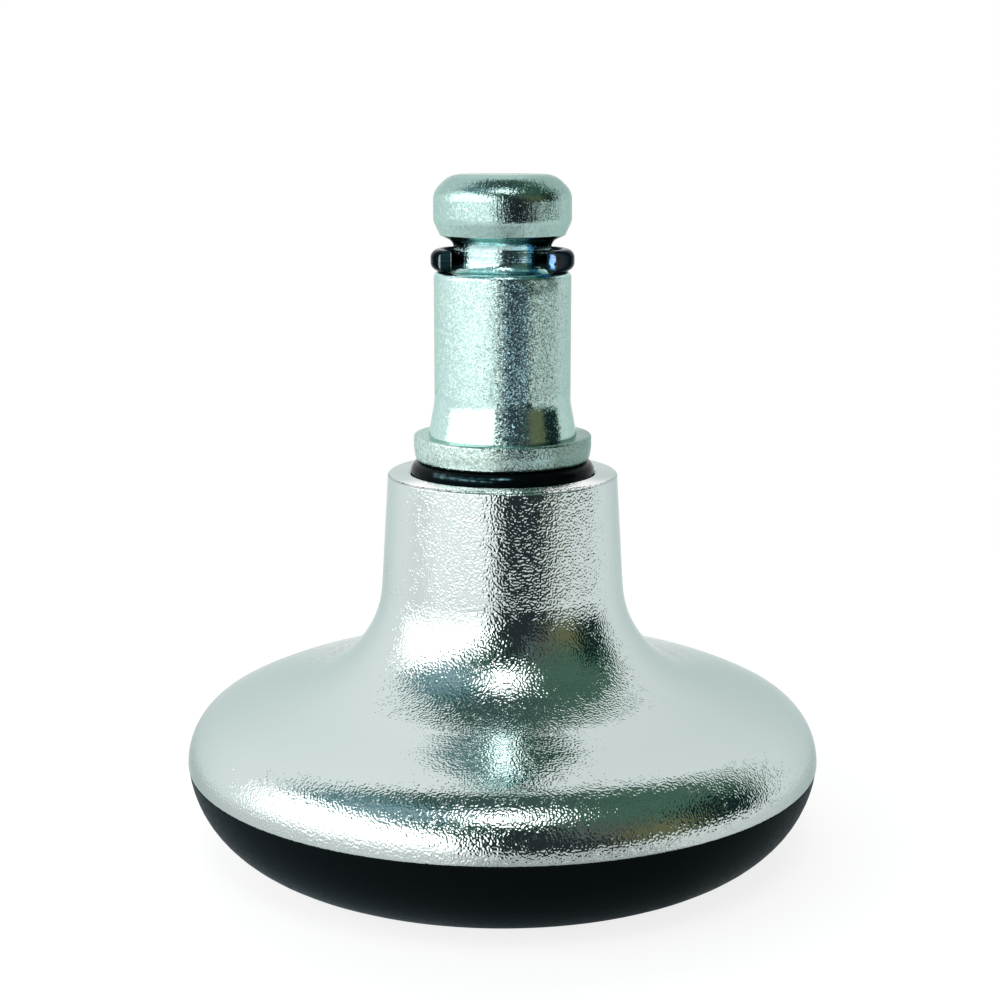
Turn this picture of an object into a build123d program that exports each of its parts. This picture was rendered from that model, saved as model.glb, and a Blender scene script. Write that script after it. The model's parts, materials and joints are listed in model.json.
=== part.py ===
"""Office chair glide: a plated bell on a black foot, held by a stem with a grip ring.

Millimetres. +Z is up along the stem. The origin is the centre of the foot's flat underside.
"""
import math
import os

from build123d import *

# Stem above its collar: head, groove for the grip ring, shank and flare
shank_radius = 5.5
shank_top_above_collar = 13.15
shoulder_round = 0.5
flare_spread = 0.5
flare_height = 2.7
flare_fillet = 5.0
groove_depth = 1.6
groove_height = 2.35
groove_foot_round = 0.85
groove_head_round = 0.8
head_stands_proud = 0.02
head_height = 4.8
head_top_inset = 1.37
head_top_fillet = 1.95
head_shoulder_height = 1.34
head_shoulder_fillet = 1.6
head_taper = 0.53
head_taper_height = 1.15
head_taper_blend = 1.0
head_underside_rise = 0.45
head_underside_round = 0.2

# Collar, and the spigot below it that is pressed into the foot's hub
collar_ledge = 1.2
collar_thickness = 2.15
collar_edge_round = 0.2
collar_taper = 0.2
collar_taper_height = 1.1
collar_taper_blend = 2.0
collar_base_round = 0.45
spigot_radius = 4.5
spigot_length = 17.0
spigot_chamfer = 0.8

# Grip ring: half-round spring wire, open towards -Y
ring_stands_proud = 0.25
ring_groove_clearance = 0.75
ring_end_play = 0.6
ring_outer_round = 0.7
ring_inner_round = 0.3
ring_gap_degrees = 108.0
ring_gap_turn_degrees = -6.0

# Washer between the collar and the hub, in the bell's mouth
washer_clearance = 0.05
washer_thickness = 1.5

# Bell: the plated cover, drawn as corners that large fillets blend into a trumpet
base_radius = 26.0
bell_wall = 2.0
bell_rim_height = 3.15
bell_rim_fillet = 4.6
bell_crown_inset = 5.83
bell_crown_rise = 2.8
bell_crown_fillet = 24.4
bell_throat_rise = 1.78
bell_throat_fillet = 8.5
neck_height = 16.02
neck_draft = 0.99
neck_wall_at_mouth = 1.83
neck_edge_fillet = 0.3
mouth_gap = 0.3
mouth_chamfer = 0.15
seam_edge_round = 0.25

# Foot: the black moulding that stands on the floor, with the hub inside the bell's neck
seam_height = 7.4
foot_corner_radius = 8.3
foot_floor = 3.2
locating_ring_wall = 2.2
locating_ring_height = 1.0
locating_ring_round = 0.8
locating_ring_clearance = 0.1
rib_count = 6
rib_thickness = 1.8
hub_recess = 0.55
hub_edge_round = 0.2
bore_end_space = 1.0

# How far a cutting tool runs past the face that it cuts
cut_margin = 1.0

# Radii that follow from the values above
groove_radius = shank_radius - groove_depth
head_radius = shank_radius + head_stands_proud
flare_radius = shank_radius + flare_spread
collar_radius = flare_radius + collar_ledge
neck_bore_radius = collar_radius + mouth_gap
neck_top_radius = neck_bore_radius + neck_wall_at_mouth
bell_throat_radius = neck_top_radius + neck_draft
bell_crown_radius = base_radius - bell_crown_inset
ring_outer_radius = shank_radius + ring_stands_proud
ring_inner_radius = groove_radius + ring_groove_clearance
washer_radius = neck_bore_radius - washer_clearance
locating_radius = base_radius - bell_wall - locating_ring_clearance
pocket_radius = locating_radius - locating_ring_wall

# Heights that follow from the values above, from the floor up
locating_top = seam_height + locating_ring_height
bell_rim_corner = seam_height + bell_rim_height
bell_crown_height = bell_rim_corner + bell_crown_rise
bell_throat_height = bell_crown_height + bell_throat_rise
neck_top = bell_throat_height + neck_height
hub_top = neck_top - hub_recess
spigot_end = hub_top - spigot_length
collar_bottom = hub_top + washer_thickness
collar_top = collar_bottom + collar_thickness
shoulder = collar_top + shank_top_above_collar
groove_top = shoulder + groove_height
ring_top = groove_top - ring_end_play
head_bottom = groove_top + head_underside_rise
head_top = head_bottom + head_height


def rounded_face(corners):
    """Face in the XZ plane through (radius, height, fillet) corners.

    A fillet that its two walls can't hold is made smaller.
    """
    points = [Vector(r, 0, z) for r, z, _ in corners]
    count = len(points)
    befores = [(points[i - 1] - points[i]).normalized() for i in range(count)]
    afters = [(points[(i + 1) % count] - points[i]).normalized() for i in range(count)]
    halves = [math.radians(b.get_angle(a)) / 2 for b, a in zip(befores, afters)]
    legs = [fillet / math.tan(half) for (_, _, fillet), half in zip(corners, halves)]
    for i in range(count):
        j = (i + 1) % count
        wall = (points[j] - points[i]).length
        if legs[i] + legs[j] > wall:
            share = wall / (legs[i] + legs[j])
            legs[i] *= share
            legs[j] *= share
    starts = [p + b * leg for p, b, leg in zip(points, befores, legs)]
    ends = [p + a * leg for p, a, leg in zip(points, afters, legs)]
    edges = []
    for i in range(count):
        if legs[i]:
            arc_radius = legs[i] * math.tan(halves[i])
            to_middle = (befores[i] + afters[i]).normalized()
            middle = points[i] + to_middle * (arc_radius / math.sin(halves[i]) - arc_radius)
            edges.append(ThreePointArc(starts[i], middle, ends[i]))
        following = starts[(i + 1) % count]
        if (following - ends[i]).length > 1e-6:
            edges.append(Line(ends[i], following))
    return make_face(edges)


def turned(corners, degrees=360.0):
    """Solid of revolution about Z from (radius, height, fillet) corners."""
    return revolve(rounded_face(corners), axis=Axis.Z, revolution_arc=degrees)


def disc(radius, bottom, top):
    """Plain cylinder about Z between two heights."""
    return Pos(0, 0, bottom) * Cylinder(
        radius, top - bottom, align=(Align.CENTER, Align.CENTER, Align.MIN)
    )


def inset(line, distance):
    """Open line of (radius, height) points moved sideways, to its left, by a distance."""
    moved = []
    for (r0, z0), (r1, z1) in zip(line[:-1], line[1:]):
        length = math.hypot(r1 - r0, z1 - z0)
        along = ((r1 - r0) / length, (z1 - z0) / length)
        moved.append(((r0 - along[1] * distance, z0 + along[0] * distance), along, length))
    points = [moved[0][0]]
    for (p, d, _), (q, e, _) in zip(moved[:-1], moved[1:]):
        cross = d[0] * e[1] - d[1] * e[0]
        step = ((q[0] - p[0]) * e[1] - (q[1] - p[1]) * e[0]) / cross
        points.append((p[0] + d[0] * step, p[1] + d[1] * step))
    start, along, length = moved[-1]
    points.append((start[0] + along[0] * length, start[1] + along[1] * length))
    return points


def filled_under(line, fillets, top):
    """Solid of revolution between the axis and an open line of (radius, height) points."""
    corners = [(r, z, fillet) for (r, z), fillet in zip(line, fillets)]
    return turned([(0, line[0][1], 0)] + corners + [(0, top, 0)])


def make_bell_cover():
    """Trumpet shell of even wall, with a straight bore where the hub fills its mouth."""
    outside = [
        (base_radius, seam_height),
        (base_radius, bell_rim_corner),
        (bell_crown_radius, bell_crown_height),
        (bell_throat_radius, bell_throat_height),
        (neck_top_radius, neck_top),
    ]
    outside_fillets = [
        seam_edge_round,
        bell_rim_fillet,
        bell_crown_fillet,
        bell_throat_fillet,
        neck_edge_fillet,
    ]
    inside = inset(outside, bell_wall)
    inside_fillets = [
        0,
        max(bell_rim_fillet - bell_wall, 0),
        max(bell_crown_fillet - bell_wall, 0),
        bell_throat_fillet + bell_wall,
        0,
    ]
    shell = filled_under(outside, outside_fillets, neck_top)
    shell -= filled_under(inside, inside_fillets, inside[-1][1])
    shell -= disc(neck_bore_radius, bell_throat_height, neck_top + cut_margin)
    chamfer_start = neck_top - mouth_chamfer
    shell -= turned(
        [
            (0, chamfer_start, 0),
            (neck_bore_radius, chamfer_start, 0),
            (neck_bore_radius + mouth_chamfer, neck_top, 0),
            (0, neck_top, 0),
        ]
    )
    return shell


def make_foot():
    """Rounded dish cut off at the seam, with the ring that locates the bell, ribs and the hub.

    The pocket is cut around the ribs, so that they stay inside the dish.
    """
    dish_top = seam_height + foot_corner_radius
    dish = turned(
        [
            (0, 0, 0),
            (base_radius, 0, foot_corner_radius),
            (base_radius, dish_top, 0),
            (0, dish_top, 0),
        ]
    )
    dish -= disc(base_radius + cut_margin, seam_height, dish_top + cut_margin)
    dish += turned(
        [
            (0, seam_height - locating_ring_height, 0),
            (locating_radius, seam_height - locating_ring_height, 0),
            (locating_radius, locating_top, locating_ring_round),
            (0, locating_top, 0),
        ]
    )
    pocket = turned(
        [
            (0, foot_floor, 0),
            (pocket_radius, foot_floor, max(foot_corner_radius - foot_floor, 0)),
            (pocket_radius, locating_top + cut_margin, 0),
            (0, locating_top + cut_margin, 0),
        ]
    )
    rib = Pos(0, 0, foot_floor - cut_margin) * Box(
        pocket_radius + cut_margin,
        rib_thickness,
        seam_height - foot_floor + cut_margin,
        align=(Align.MIN, Align.CENTER, Align.MIN),
    )
    ribs = [Rot(0, 0, 360.0 / rib_count * i) * rib for i in range(rib_count)]
    hub = turned(
        [
            (0, foot_floor / 2, 0),
            (neck_bore_radius, foot_floor / 2, 0),
            (neck_bore_radius, hub_top, hub_edge_round),
            (0, hub_top, 0),
        ]
    )
    bore = disc(spigot_radius, spigot_end - bore_end_space, hub_top + cut_margin)
    return dish - (pocket - ribs) + hub - bore


def make_washer():
    """Flat against hub and collar, fully rounded outside."""
    return turned(
        [
            (spigot_radius, hub_top, 0),
            (washer_radius, hub_top, washer_thickness / 2),
            (washer_radius, collar_bottom, washer_thickness / 2),
            (spigot_radius, collar_bottom, 0),
        ]
    )


def make_stem():
    """One headed and turned piece, from the end of the spigot to the top of the head."""
    return turned(
        [
            (0, spigot_end, 0),
            (spigot_radius - spigot_chamfer, spigot_end, 0),
            (spigot_radius, spigot_end + spigot_chamfer, 0),
            (spigot_radius, collar_bottom, 0),
            (collar_radius - collar_taper, collar_bottom, collar_base_round),
            (collar_radius, collar_bottom + collar_taper_height, collar_taper_blend),
            (collar_radius, collar_top, collar_edge_round),
            (flare_radius, collar_top, 0),
            (shank_radius, collar_top + flare_height, flare_fillet),
            (shank_radius, shoulder, shoulder_round),
            (groove_radius, shoulder, groove_foot_round),
            (groove_radius, groove_top, groove_head_round),
            (head_radius - head_taper, head_bottom, head_underside_round),
            (head_radius, head_bottom + head_taper_height, head_taper_blend),
            (head_radius, head_top - head_shoulder_height, head_shoulder_fillet),
            (head_radius - head_top_inset, head_top, head_top_fillet),
            (0, head_top, 0),
        ]
    )


def make_grip_ring():
    """Split ring that rests on the shoulder, loose around the groove."""
    ring = turned(
        [
            (ring_inner_radius, shoulder, ring_inner_round),
            (ring_outer_radius, shoulder, ring_outer_round),
            (ring_outer_radius, ring_top, ring_outer_round),
            (ring_inner_radius, ring_top, ring_inner_round),
        ],
        360.0 - ring_gap_degrees,
    )
    return Rot(0, 0, ring_gap_turn_degrees + ring_gap_degrees / 2 - 90.0) * ring


pieces = {
    "foot": make_foot(),
    "bell_cover": make_bell_cover(),
    "washer": make_washer(),
    "stem": make_stem(),
    "grip_ring": make_grip_ring(),
}
os.makedirs("parts", exist_ok=True)
for name, solid in pieces.items():
    export_step(solid, f"parts/{name}.step")
    print(name, "volume", round(solid.volume, 1), "top", round(solid.bounding_box().max.Z, 3))
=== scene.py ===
"""Looks of the office chair glide: plated bell, zinc stem, grip ring, washer and black foot.

Metres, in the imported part's frame: +Z up, the foot's underside at z = 0, the camera in front, at -Y.
Azimuths are in degrees from -Y, positive to the right. Texture scales are in cells per metre.
"""
import json
import math
from types import SimpleNamespace

import bpy
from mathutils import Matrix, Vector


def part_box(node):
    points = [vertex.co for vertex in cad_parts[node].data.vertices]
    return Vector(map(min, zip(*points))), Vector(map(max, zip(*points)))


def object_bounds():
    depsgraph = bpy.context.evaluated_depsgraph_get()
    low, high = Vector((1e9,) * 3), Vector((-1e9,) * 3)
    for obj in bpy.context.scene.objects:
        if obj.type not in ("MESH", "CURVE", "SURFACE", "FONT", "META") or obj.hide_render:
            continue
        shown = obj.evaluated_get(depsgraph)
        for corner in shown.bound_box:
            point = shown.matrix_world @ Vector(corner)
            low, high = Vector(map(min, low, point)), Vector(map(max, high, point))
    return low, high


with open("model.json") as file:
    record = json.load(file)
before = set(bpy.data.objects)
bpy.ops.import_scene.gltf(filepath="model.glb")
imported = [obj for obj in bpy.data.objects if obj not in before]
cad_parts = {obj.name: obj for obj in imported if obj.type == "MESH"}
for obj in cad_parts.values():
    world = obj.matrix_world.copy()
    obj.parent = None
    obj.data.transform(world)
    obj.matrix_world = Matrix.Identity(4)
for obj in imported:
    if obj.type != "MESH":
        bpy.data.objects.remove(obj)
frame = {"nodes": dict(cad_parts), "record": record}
cad_low, cad_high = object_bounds()
nodes = frame["nodes"]
mounts = {mount["name"]: mount for mount in frame["record"]["mounts"]}
MM = 0.001

# Ranges of a noise's values over which a step turns from its low to its high value
WIDE = (0.3, 0.7)
NARROW = (0.35, 0.65)

# Heights on the stem, from its mounts and the grip ring that lies in its groove
ledge = mounts["collar_seat"]["pos_m"][2]
shank_start = mounts["stem"]["pos_m"][2] - mounts["stem"]["dims"]["length_mm"] * MM / 2
ring_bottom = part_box("grip_ring")[0].z
ring_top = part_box("grip_ring")[1].z
groove_bottom = ring_bottom - 0.3 * MM
groove_top = ring_top + 0.7 * MM
stem_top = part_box("stem")[1].z
taper_top = stem_top - 3.7 * MM
shoulder_start = stem_top - 1.8 * MM

# Tops of the washer and the bell, and radii on the bell's crown, measured inwards from its rim
washer_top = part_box("washer")[1].z
lip_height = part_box("bell_cover")[1].z
rim = cad_high.x
throat_start, throat_end = rim - 12.4 * MM, rim - 6.6 * MM
dish_start, dish_end = rim - 6.0 * MM, rim - 2.6 * MM
calm_start, calm_end = rim - 10.0 * MM, rim - 2.8 * MM


class Graph:
    """Adds nodes to one shader tree. An input is a socket to link or a plain value to set."""

    def __init__(self, tree):
        self.tree = tree
        tree.nodes.clear()

    def add(self, kind, inputs=None, **settings):
        node = self.tree.nodes.new("ShaderNode" + kind)
        for name, value in settings.items():
            setattr(node, name, value)
        for key, value in (inputs or {}).items():
            if isinstance(value, bpy.types.NodeSocket):
                self.tree.links.new(value, node.inputs[key])
            else:
                node.inputs[key].default_value = value
        return node

    def math(self, operation, *values):
        return self.add("Math", dict(enumerate(values)), operation=operation).outputs[0]

    def vector(self, operation, inputs):
        return self.add("VectorMath", inputs, operation=operation).outputs[0]

    def product(self, first, *others):
        for other in others:
            first = self.math("MULTIPLY", first, other)
        return first

    def total(self, first, *others):
        for other in others:
            first = self.math("ADD", first, other)
        return first

    def difference(self, first, second):
        return self.math("SUBTRACT", first, second)

    def length(self, across, along):
        squares = self.total(self.product(across, across), self.product(along, along))
        return self.math("SQRT", squares)

    def step(self, value, start, end, low=0.0, high=1.0):
        """Smooth step of a value from low at start to high at end."""
        inputs = {0: value, 1: start, 2: end, 3: low, 4: high}
        return self.add("MapRange", inputs, interpolation_type="SMOOTHSTEP").outputs[0]

    def band(self, value, low, high, blur):
        """1 between two values, falling to 0 over a soft edge."""
        rise = self.step(value, low - blur / 2, low + blur / 2)
        fall = self.step(value, high - blur / 2, high + blur / 2, 1.0, 0.0)
        return self.product(rise, fall)

    def mix(self, factor, first, second):
        node = self.add("Mix", {0: factor, 6: first, 7: second}, data_type="RGBA")
        return node.outputs[2]

    def layered(self, base, layers):
        """A colour with layers over it, each a factor and a colour."""
        for factor, layer in layers:
            base = self.mix(factor, base, layer)
        return base

    def noise(self, vector, scale, detail=2.0, roughness=0.5):
        inputs = {"Vector": vector, "Scale": scale, "Detail": detail, "Roughness": roughness}
        return self.add("TexNoise", inputs).outputs[0]

    def bump(self, height, distance, under=None):
        """Normal of a surface whose height varies by a distance, over a coarser one's normal."""
        inputs = {"Strength": 1.0, "Distance": distance, "Height": height}
        if under:
            inputs["Normal"] = under
        return self.add("Bump", inputs).outputs[0]

    def facets(self, place, scale, tilt, strong_tilt):
        """Normal that leans another way in each cell, and more in one of four, like crystals."""
        random = self.add("TexVoronoi", {"Vector": place, "Scale": scale}).outputs["Color"]
        blue = self.add("SeparateColor", {0: random}).outputs["Blue"]
        pick = self.math("FRACT", self.product(blue, 9.7))
        amount = self.step(pick, 0.74, 0.76, tilt, strong_tilt)
        centred = self.vector("SUBTRACT", {0: random, 1: (0.5, 0.5, 0.5)})
        lean = self.vector("SCALE", {0: centred, "Scale": amount})
        normal = self.add("NewGeometry").outputs["Normal"]
        return self.vector("NORMALIZE", {0: self.vector("ADD", {0: normal, 1: lean})})

    def around(self, place):
        """Azimuth, radius and height of a place."""
        x, y, z = self.add("SeparateXYZ", {0: place}).outputs
        azimuth = self.math("DEGREES", self.math("ARCTAN2", x, self.product(y, -1.0)))
        return azimuth, self.length(x, y), z

    def stretched(self, azimuth, height, around, along):
        """Coordinates for a texture with so many cells per radian around and per metre along."""
        angle = self.math("RADIANS", azimuth)
        across = self.product(self.math("SINE", angle), around)
        depth = self.product(self.math("COSINE", angle), around)
        upwards = self.product(height, along)
        return self.add("CombineXYZ", {0: across, 1: depth, 2: upwards}).outputs[0]


def colour(red, green, blue):
    return (red, green, blue, 1.0)


def grey(level):
    return colour(level, level, level)


def new_material(name):
    material = bpy.data.materials.new(name)
    material.use_nodes = True
    graph = Graph(material.node_tree)
    output = graph.add("OutputMaterial")
    place = graph.add("TexCoord").outputs["Object"]
    return material, graph, output, place


def surface(graph, output, **inputs):
    named = {key.replace("_", " "): value for key, value in inputs.items()}
    shader = graph.add("BsdfPrincipled", named)
    graph.tree.links.new(shader.outputs[0], output.inputs["Surface"])


def dress(node, material):
    mesh = nodes[node].data
    mesh.materials.clear()
    mesh.materials.append(material)


def photo_camera():
    """Camera whose pitch, place and lens were found from the part's edges in the photograph."""
    pitch = 11.06
    sideways, distance, rise = -0.204 * MM, 151.287 * MM, 58.314 * MM
    data = bpy.data.cameras.new("camera")
    data.sensor_width = 36.0
    data.lens = 67.92
    data.clip_start = 0.01
    data.clip_end = 10.0
    camera = bpy.data.objects.new("camera", data)
    camera.location = (sideways, -distance, rise)
    camera.rotation_euler = (math.radians(90.0 - pitch), 0.0, 0.0)
    bpy.context.scene.collection.objects.link(camera)
    bpy.context.scene.camera = camera


def surroundings(graph):
    """Light that the metal mirrors, by azimuth and elevation. Azimuth 0 is behind the camera."""
    direction = graph.add("TexCoord").outputs["Generated"]
    across, depth, height = graph.add("SeparateXYZ", {0: direction}).outputs
    azimuth, _, _ = graph.around(direction)
    elevation = graph.math("DEGREES", graph.math("ARCSINE", height))

    def patch(left, right, low, high, blur):
        wide = graph.band(azimuth, left, right, blur)
        return graph.product(wide, graph.band(elevation, low, high, blur))

    def spot(at_azimuth, at_elevation, half_width, half_height, blur):
        sideways = graph.math("DIVIDE", graph.difference(azimuth, at_azimuth), half_width)
        upwards = graph.math("DIVIDE", graph.difference(elevation, at_elevation), half_height)
        return graph.step(graph.length(sideways, upwards), 1.0 - blur, 1.0 + blur, 1.0, 0.0)

    # White backdrop behind the part, up to a straight top edge that falls to the right
    top_edge = graph.difference(graph.product(depth, 2.7), graph.product(across, 0.55))
    above = graph.step(graph.difference(height, top_edge), -0.1, 0.1)
    bright_backdrop = patch(-172.0, -100.0, -30.0, 75.0, 16.0)

    # Dark green room over the table's edge, which lies lower at the right
    table_low = graph.step(azimuth, 15.0, 60.0, -2.0, -7.0)
    table_high = graph.step(azimuth, 15.0, 60.0, 3.0, 2.0)
    room = graph.product(above, graph.step(elevation, table_low, table_high))
    clutter = graph.step(graph.noise(direction, 7.0, 1.0), *NARROW)
    room_colour = graph.mix(clutter, colour(0.06, 0.125, 0.09), colour(0.11, 0.205, 0.15))
    left_wall = graph.product(above, patch(-118.0, -28.0, 40.0, 95.0, 14.0))
    wall_glow = patch(-80.0, -38.0, 45.0, 62.0, 10.0)
    ceiling = graph.step(elevation, 68.0, 75.0)

    # Bright table at the left of the camera, and dark shapes behind it and at its right
    bright_table = patch(-75.0, -6.0, -40.0, 1.0, 5.0)
    photographer = patch(-5.5, 44.0, -40.0, 43.0, 5.0)
    dark_table = patch(40.0, 51.0, -40.0, 1.0, 5.0)
    grey_patch = patch(23.0, 40.0, 18.0, 45.0, 6.0)
    brown_patch = patch(37.0, 46.0, 0.0, 40.0, 5.0)
    olive_patch = patch(45.0, 72.0, 1.0, 26.0, 4.0)
    black_patch = patch(72.0, 100.0, 1.0, 34.0, 4.0)

    # Window at the left, with a sloping top edge, and a lamp high behind the camera
    window_top = graph.total(graph.product(across, -0.82), graph.product(depth, -0.3))
    window = graph.product(
        graph.band(azimuth, -97.0, -12.0, 4.0),
        graph.step(elevation, -1.0, 4.0),
        graph.step(graph.difference(height, window_top), -0.06, 0.06, 1.0, 0.0),
    )
    lamp = spot(1.0, 63.0, 25.0, 14.0, 0.35)
    lamp_core = spot(0.0, 59.0, 11.0, 7.0, 0.5)

    layers = [
        (bright_backdrop, grey(1.15)),
        (room, room_colour),
        (left_wall, colour(0.17, 0.31, 0.33)),
        (wall_glow, colour(0.38, 0.54, 0.60)),
        (ceiling, colour(0.065, 0.115, 0.107)),
        (bright_table, grey(1.25)),
        (photographer, colour(0.03, 0.038, 0.044)),
        (dark_table, colour(0.03, 0.038, 0.044)),
        (grey_patch, colour(0.13, 0.17, 0.155)),
        (brown_patch, colour(0.12, 0.11, 0.095)),
        (olive_patch, colour(0.18, 0.185, 0.1)),
        (black_patch, colour(0.012, 0.028, 0.028)),
        (window, grey(2.6)),
        (lamp, grey(2.8)),
        (lamp_core, grey(6.0)),
    ]
    return graph.layered(grey(1.05), layers)


def studio_world():
    """World that is white to the camera and shows the surroundings to every other ray."""
    world = bpy.data.worlds.new("studio")
    world.use_nodes = True
    graph = Graph(world.node_tree)
    studio = graph.add("Background", {"Color": surroundings(graph), "Strength": 1.0})
    white = graph.add("Background", {"Color": grey(1.0), "Strength": 1.0})
    by_camera = graph.add("LightPath").outputs["Is Camera Ray"]
    either = graph.add("MixShader", {0: by_camera, 1: studio.outputs[0], 2: white.outputs[0]})
    output = graph.add("OutputWorld")
    graph.tree.links.new(either.outputs[0], output.inputs["Surface"])
    bpy.context.scene.world = world


def pale_floor():
    """White to the camera and in the metal, apart from the part's shadow and a painted shadow around
    the part that only the metal mirrors.
    """
    material, graph, output, place = new_material("pale_floor")
    azimuth, radius, _ = graph.around(place)
    path = graph.add("LightPath").outputs
    mirrored = path["Is Glossy Ray"]
    seen = graph.math("MAXIMUM", path["Is Camera Ray"], mirrored)
    seen = graph.math("MAXIMUM", seen, path["Is Transmission Ray"])
    diffuse = graph.add("BsdfDiffuse", {"Color": graph.mix(seen, grey(0.8), grey(0.3))})

    # Painted shadow: mirrored in the metal, it is darker near the part, and most of all towards the
    # camera
    glow, near_shade, front_shade = 0.82, 0.2, 0.3
    near = graph.product(mirrored, graph.step(radius, 55.0 * MM, 95.0 * MM, 1.0, 0.0))
    front = graph.product(near, graph.band(azimuth, -8.0, 42.0, 12.0))
    fall = graph.total(graph.product(near, near_shade), graph.product(front, front_shade))
    strength = graph.product(seen, graph.difference(glow, fall))
    white = graph.add("Emission", {"Color": grey(1.0), "Strength": strength})
    both = graph.add("AddShader", {0: diffuse.outputs[0], 1: white.outputs[0]})
    graph.tree.links.new(both.outputs[0], output.inputs["Surface"])
    return material


def table_top():
    """Floor under the part, which stands near its left front corner."""
    left, right = -75.0 * MM, 250.0 * MM
    front, back = -110.0 * MM, 110.0 * MM
    level = cad_low.z - 0.05 * MM
    outline = [(left, front), (right, front), (right, back), (left, back)]
    mesh = bpy.data.meshes.new("floor")
    mesh.from_pydata([(x, y, level) for x, y in outline], [], [(0, 1, 2, 3)])
    floor = bpy.data.objects.new("floor", mesh)
    bpy.context.scene.collection.objects.link(floor)
    mesh.materials.append(pale_floor())


def grained_chrome():
    """Bright plating over a fine moulded grain, with a plain lip that has a painted highlight at its
    front.
    """
    material, graph, output, place = new_material("grained_chrome")
    azimuth, radius, height = graph.around(place)
    lip = graph.step(height, lip_height - 0.2 * MM, lip_height - 0.05 * MM)
    # Painted highlight: the lip's colour is brighter and more neutral towards the front
    lip_front_highlight = graph.band(azimuth, -55.0, 60.0, 20.0)
    lip_colour_and_highlight = graph.mix(lip_front_highlight, colour(0.66, 0.70, 0.69), colour(1.0, 0.97, 0.98))

    # Slopes read from the photograph's mirror images: steeper throat, slight dish, leaning lip
    throat = graph.step(radius, throat_start, throat_end, 0.0, -0.64 * MM)
    dish = graph.step(radius, dish_start, dish_end, 0.0, 0.11 * MM)
    lean = graph.product(lip, radius, -0.4)
    sloped = graph.bump(graph.total(throat, dish, lean), 1.0)

    # Grain that is deeper in patches and calmer on the crown
    patch_scale, grain_scale = 1500.0, 5800.0
    shallow, deep = 0.027 * MM, 0.041 * MM
    patches = graph.noise(place, patch_scale, 0.0)
    calm = graph.product(graph.band(radius, calm_start, calm_end, 1.2 * MM), -0.4)
    depth = graph.product(graph.step(patches, *NARROW, shallow, deep), graph.total(calm, 1.0))
    surface(
        graph,
        output,
        Base_Color=graph.mix(lip, colour(0.565, 0.64, 0.63), lip_colour_and_highlight),
        Metallic=1.0,
        Roughness=graph.step(patches, *NARROW, 0.04, 0.06),
        Specular_Tint=colour(0.62, 0.70, 0.69),
        Normal=graph.bump(graph.noise(place, grain_scale, 0.0), depth, sloped),
    )
    return material


def zinc_zones(graph, height):
    """Factors for the stretches of the stem: 1 inside each, and 0.6 on the head's taper."""
    head = graph.step(height, groove_top, groove_top + 0.3 * MM)
    tapering = graph.step(height, taper_top - 0.2 * MM, taper_top + 0.1 * MM, 0.6, 0.0)
    return SimpleNamespace(
        collar=graph.step(height, ledge - 0.1 * MM, ledge + 0.1 * MM, 1.0, 0.0),
        flare=graph.band(height, ledge, shank_start, 0.5 * MM),
        shank=graph.band(height, ledge + 0.2 * MM, groove_bottom, 0.5 * MM),
        groove=graph.band(height, groove_bottom, groove_top, 0.2 * MM),
        head=head,
        taper=graph.product(head, tapering),
    )


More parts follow.
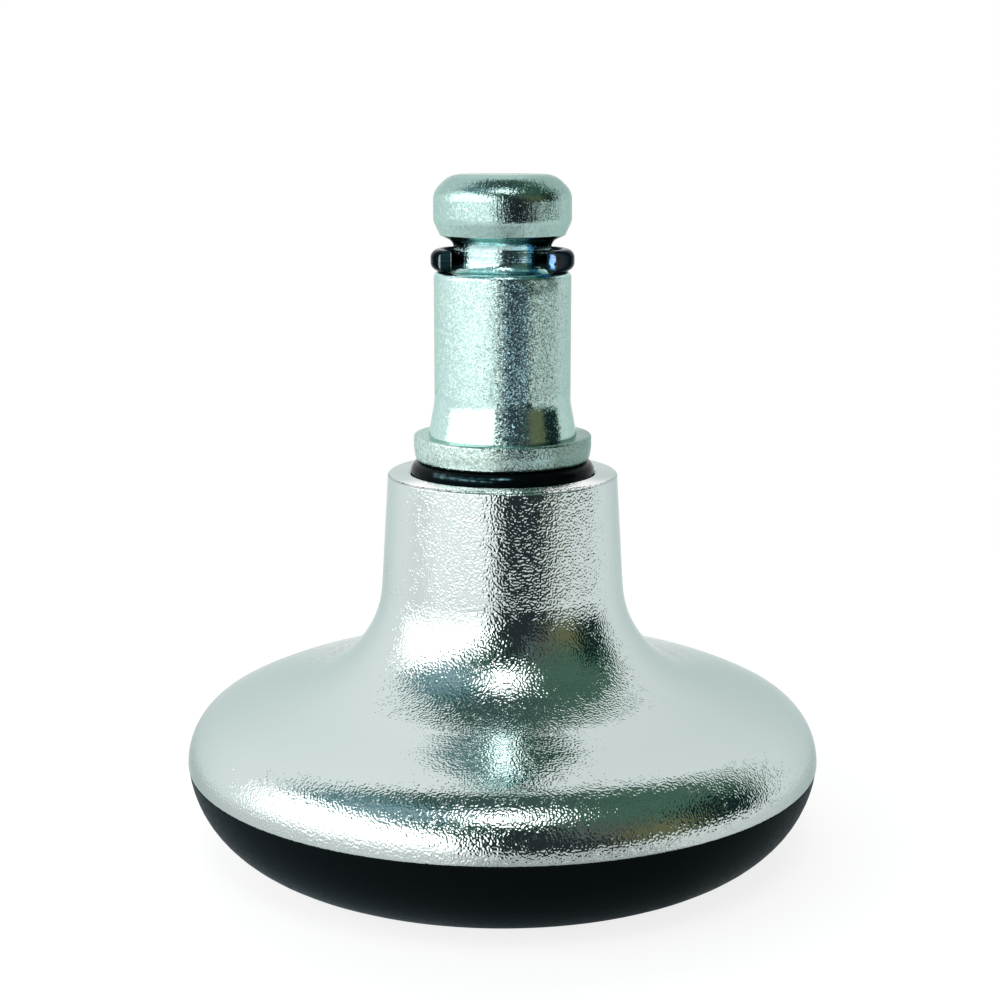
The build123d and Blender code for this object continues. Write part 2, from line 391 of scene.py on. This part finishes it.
def zinc_colour(graph, place, azimuth, height, zones):
    """Colour of the zinc, with specks and a dull random tone, and with painted shade, a painted shadow
    under the grip ring and painted reflections on the head, collar, shank and groove.
    """
    speck_scale, ring_shadow_scale, dull_scale = 3800.0, 1400.0, 2600.0
    # Painted dark reflection on the head's band, at the front right
    head_dark_reflection = graph.product(
        graph.band(azimuth, 8.0, 33.0, 8.0),
        graph.band(height, taper_top, shoulder_start, 0.4 * MM),
        0.5,
    )
    # Painted shade on the front half of the head's upper rounding
    shoulder_shade = graph.product(
        graph.band(azimuth, -70.0, 75.0, 16.0),
        graph.band(height, shoulder_start + 0.3 * MM, stem_top - 0.2 * MM, 0.3 * MM),
        0.35,
    )
    specks = graph.product(
        graph.total(zones.collar, zones.taper),
        graph.step(graph.noise(place, speck_scale), 0.5, 0.62),
        0.45,
    )
    # Painted reflections: a dark teal tint at the collar's front and a bluish one at the shank's front
    collar_front_reflection = graph.product(zones.collar, graph.band(azimuth, 2.0, 32.0, 10.0), 0.4)
    shank_front_reflection = graph.product(zones.shank, graph.band(azimuth, 1.0, 22.0, 6.0), 0.45)
    # Painted shade on the right side of the stem, strongest on the collar
    right_side_shade = graph.product(
        graph.band(azimuth, 30.0, 110.0, 16.0),
        graph.step(height, ledge, ledge + 0.2 * MM, 1.0, 0.3),
    )
    # Painted shadow under the grip ring's right end, patchy with noise
    ring_shadow = graph.product(
        graph.band(azimuth, 18.0, 52.0, 10.0),
        graph.band(height, ring_bottom - 1.4 * MM, ring_bottom - 0.4 * MM, 0.5 * MM),
        graph.step(graph.noise(place, ring_shadow_scale), 0.3, 0.6, 0.2, 0.75),
    )
    # Painted reflections on the groove's right: a blue tint and a darker blue stripe
    groove_right_reflection = graph.product(zones.groove, graph.band(azimuth, 8.0, 42.0, 8.0), 0.4)
    groove_blue_reflection = graph.product(zones.groove, graph.band(azimuth, 29.0, 42.0, 5.0))
    dull = graph.step(graph.noise(place, dull_scale), *WIDE, 0.0, 0.3)
    layers = [
        (zones.head, colour(0.43, 0.60, 0.565)),
        (head_dark_reflection, colour(0.14, 0.15, 0.18)),
        (shoulder_shade, colour(0.17, 0.26, 0.24)),
        (zones.collar, colour(0.6, 0.74, 0.69)),
        (specks, colour(0.15, 0.24, 0.22)),
        (collar_front_reflection, colour(0.17, 0.36, 0.38)),
        (shank_front_reflection, colour(0.36, 0.72, 0.92)),
        (right_side_shade, colour(0.2, 0.29, 0.255)),
        (ring_shadow, colour(0.1, 0.15, 0.14)),
        (zones.groove, colour(0.57, 0.80, 0.80)),
        (groove_right_reflection, colour(0.25, 0.66, 0.85)),
        (groove_blue_reflection, colour(0.05, 0.26, 0.42)),
        (dull, colour(0.26, 0.42, 0.42)),
    ]
    return graph.layered(colour(0.54, 0.725, 0.69), layers)


def zinc_relief(graph, place, azimuth, height, zones):
    """How rough the zinc is, from 0 to 1, and its normal."""
    crystal_scale, speckle_scale = 16000.0, 5200.0
    speckle_depth, streak_depth, turning_depth = 0.012 * MM, 0.03 * MM, 0.06 * MM

    # The flare is polished, apart from a stripe at its front, and head and groove are smoother
    stripe = graph.band(azimuth, -4.0, 19.0, 5.0)
    polished = graph.product(zones.flare, graph.difference(1.0, stripe), 0.7)
    worked = graph.product(zones.head, 0.4)
    turned = graph.product(zones.groove, 0.4)
    smooth = graph.total(polished, worked, turned)
    rough = graph.difference(1.0, smooth)

    # Crystals and speckle where it is rough, then streaks on the head and turning in the groove
    strong_tilt = graph.difference(0.7, graph.product(smooth, 0.7))
    normal = graph.facets(place, crystal_scale, graph.product(rough, 0.25), strong_tilt)
    speckle = graph.noise(place, speckle_scale, 1.0)
    normal = graph.bump(speckle, graph.product(rough, speckle_depth), normal)
    streaks = graph.noise(graph.stretched(azimuth, height, 28.0, 500.0), 1.0, 3.0, 0.6)
    normal = graph.bump(streaks, graph.product(zones.head, streak_depth), normal)
    turning = graph.noise(graph.stretched(azimuth, height, 0.6, 3200.0), 1.0)
    normal = graph.bump(turning, graph.product(zones.groove, turning_depth), normal)
    return rough, normal


def zinc_plate():
    """Satin zinc: speckled shank and collar, smoother flare and groove, worked head."""
    material, graph, output, place = new_material("zinc_plate")
    azimuth, _, height = graph.around(place)
    zones = zinc_zones(graph, height)
    rough, normal = zinc_relief(graph, place, azimuth, height, zones)
    surface(
        graph,
        output,
        Base_Color=zinc_colour(graph, place, azimuth, height, zones),
        Metallic=1.0,
        Roughness=graph.step(rough, 0.2, 1.0, 0.05, 0.2),
        Specular_Tint=colour(0.64, 0.75, 0.72),
        Normal=normal,
    )
    return material


def ring_ends():
    """Azimuths of the two sides of the grip ring's gap."""
    places = [vertex.co for vertex in nodes["grip_ring"].data.vertices]
    angles = sorted(math.degrees(math.atan2(place.x, -place.y)) for place in places)
    return max(zip(angles[:-1], angles[1:]), key=lambda pair: pair[1] - pair[0])


def blackened_spring():
    """Oil-blackened wire with drawing lines along it, a dark teal face at one cut end with painted
    highlights on its edges, and a painted bluish glint on the other.
    """
    material, graph, output, place = new_material("blackened_spring")
    azimuth, radius, height = graph.around(place)
    left_end, right_end = ring_ends()
    radii = [vertex.co.to_2d().length for vertex in nodes["grip_ring"].data.vertices]
    inner, outer = min(radii), max(radii)
    end_width, chip_scale, line_depth = 0.8, 1900.0, 0.016 * MM
    # Left end face tinted dark teal with painted highlights on its edges; right end face with a
    # painted bluish glint
    left_face = graph.band(azimuth, left_end - end_width, left_end + end_width, 0.6)
    right_face = graph.band(azimuth, right_end - end_width, right_end + end_width, 0.6)
    middle = graph.band(radius, inner + 0.06 * MM, outer - 0.12 * MM, 0.06 * MM)
    edge_highlights = graph.product(left_face, graph.difference(1.0, middle))
    glint = graph.product(
        right_face,
        graph.step(graph.noise(place, chip_scale), 0.44, 0.56),
        graph.band(radius, inner + 0.25 * MM, outer - 0.2 * MM, 0.15 * MM),
        graph.band(height, ring_bottom + 0.4 * MM, ring_top - 0.3 * MM, 0.25 * MM),
    )
    layers = [
        (left_face, colour(0.012, 0.04, 0.05)),
        (edge_highlights, colour(0.45, 0.52, 0.52)),
        (glint, colour(0.35, 0.55, 1.0)),
    ]
    lines = graph.noise(graph.stretched(azimuth, height, 6.0, 7000.0), 1.0)
    surface(
        graph,
        output,
        Base_Color=graph.layered(colour(0.025, 0.029, 0.032), layers),
        Metallic=1.0,
        Roughness=graph.step(lines, *WIDE, 0.1, 0.18),
        Specular_Tint=colour(0.38, 0.39, 0.4),
        Normal=graph.bump(lines, line_depth),
    )
    return material


def black_washer():
    """Smooth glossy black plastic, with a painted highlight: a stronger bluish shine along an arc at
    the front left.
    """
    material, graph, output, place = new_material("black_washer")
    azimuth, _, height = graph.around(place)
    ripple_scale, ripple_depth, speck_scale = 1500.0, 0.006 * MM, 2600.0
    ripple = graph.noise(place, ripple_scale)
    dark, light = colour(0.0015, 0.0025, 0.0035), colour(0.003, 0.005, 0.006)
    # Painted highlight: the reflection is made stronger along an arc at the front left
    arc = graph.product(
        graph.band(azimuth, -48.0, 4.0, 10.0),
        graph.band(height, washer_top - 0.55 * MM, washer_top - 0.2 * MM, 0.15 * MM),
        graph.step(graph.noise(place, speck_scale), *NARROW, 0.35, 1.0),
    )
    surface(
        graph,
        output,
        Base_Color=graph.mix(ripple, dark, light),
        Roughness=graph.step(ripple, *WIDE, 0.08, 0.16),
        IOR=graph.step(arc, 0.0, 1.0, 1.1, 1.85),
        Specular_Tint=colour(0.4, 0.9, 1.0),
        Normal=graph.bump(ripple, ripple_depth),
    )
    return material


def black_nylon():
    """Dull moulded black with a fine grain."""
    material, graph, output, place = new_material("black_nylon")
    grain_scale, grain_depth = 2200.0, 0.006 * MM
    grain = graph.noise(place, grain_scale)
    dark, light = colour(0.0026, 0.0038, 0.0048), colour(0.0042, 0.0058, 0.0072)
    surface(
        graph,
        output,
        Base_Color=graph.mix(grain, dark, light),
        Roughness=graph.step(grain, *WIDE, 0.34, 0.46),
        IOR=1.05,
        Specular_Tint=colour(0.7, 0.95, 1.0),
        Sheen_Weight=0.1,
        Sheen_Roughness=0.4,
        Sheen_Tint=colour(0.5, 0.85, 1.0),
        Normal=graph.bump(grain, grain_depth),
    )
    return material


photo_camera()
studio_world()
table_top()
dress("bell_cover", grained_chrome())
dress("stem", zinc_plate())
dress("grip_ring", blackened_spring())
dress("washer", black_washer())
dress("foot", black_nylon())
bpy.context.scene.view_settings.view_transform = "Standard"
